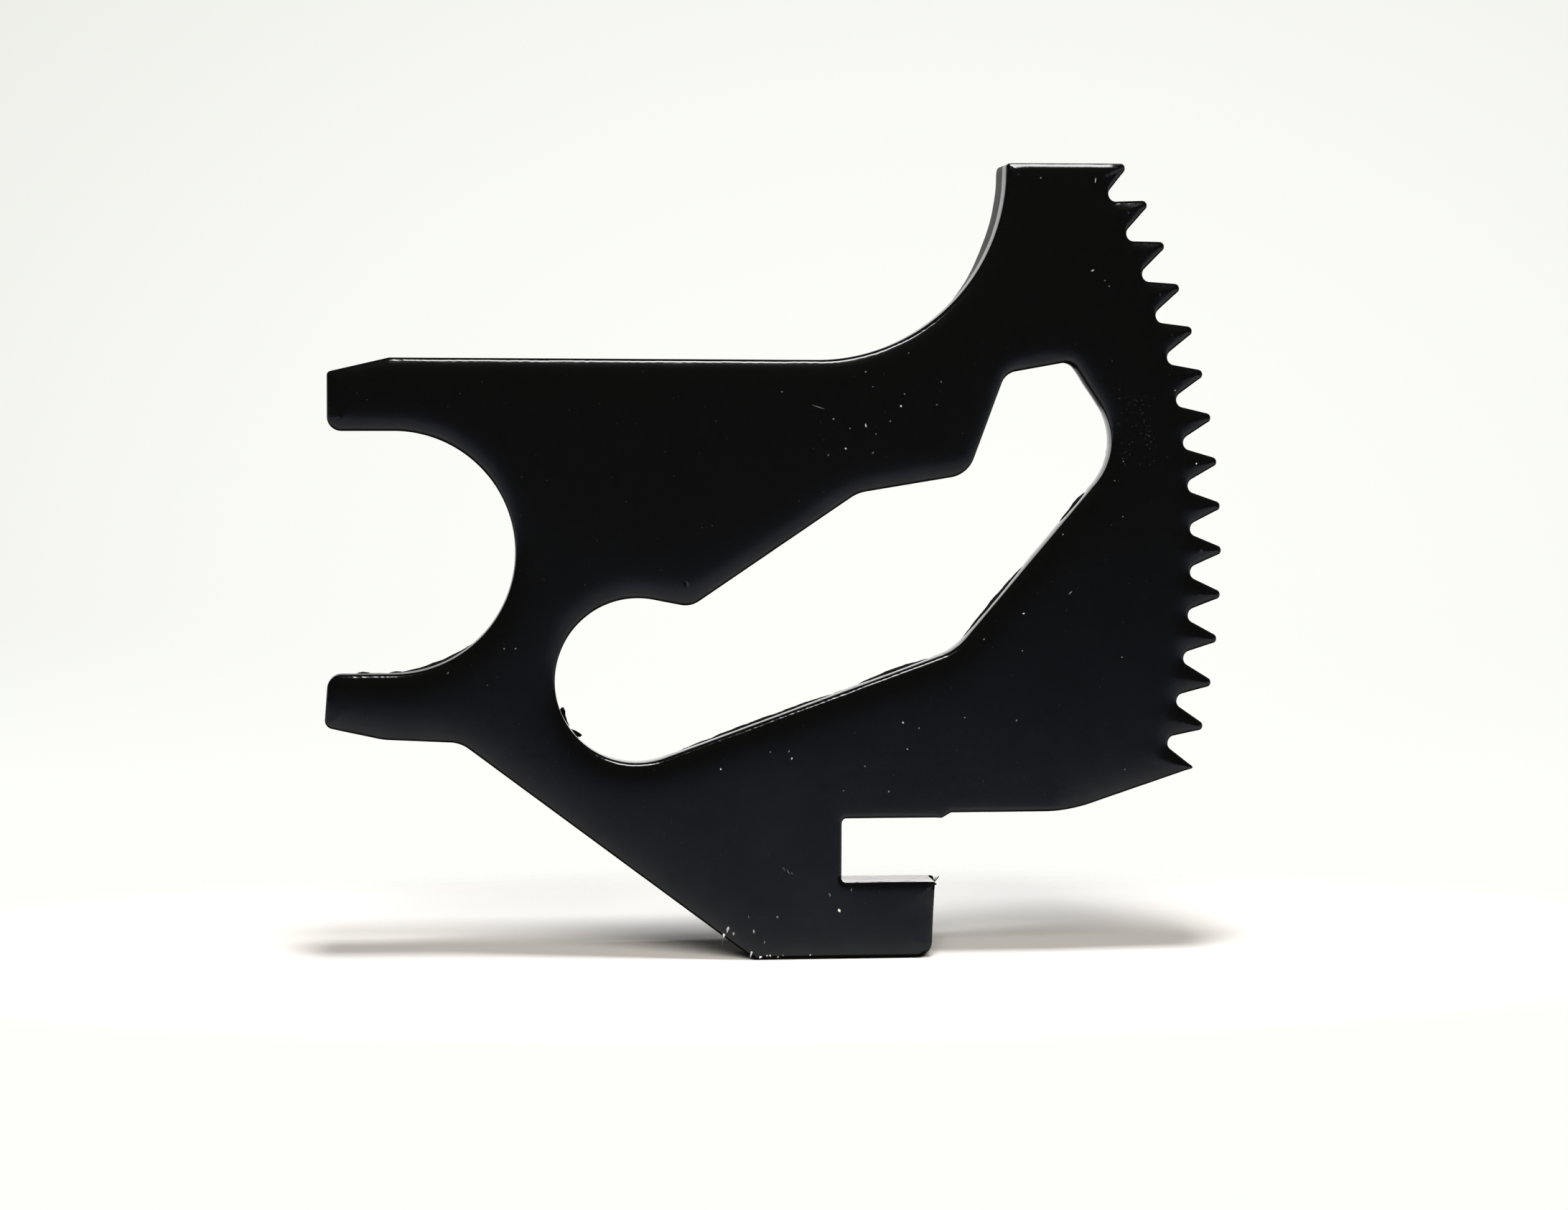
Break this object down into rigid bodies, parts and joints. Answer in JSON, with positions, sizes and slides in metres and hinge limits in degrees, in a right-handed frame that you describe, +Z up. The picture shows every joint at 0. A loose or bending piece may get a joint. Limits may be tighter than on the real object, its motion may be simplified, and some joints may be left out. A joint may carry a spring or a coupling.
{
  "type": "parking brake ratchet gear",
  "caption": "Flat toothed sector plate with a half-round boss notch, a bent window, a slotted foot and a horn; a pawl holds it by its toothed arc.",
  "frame": {"origin": "centre of the half-round boss notch, at mid thickness of the plate", "axes": "+X from the notch towards the toothed arc, +Y through the plate from its rolled front face to its back face, +Z up from the foot to the horn"},
  "size_m": [0.0822, 0.004, 0.0728],
  "materials": {
    "black_coating": "gloss"
  },
  "bodies": {
    "root": {"ratchet_sector": "black_coating"}
  },
  "joints": []
}
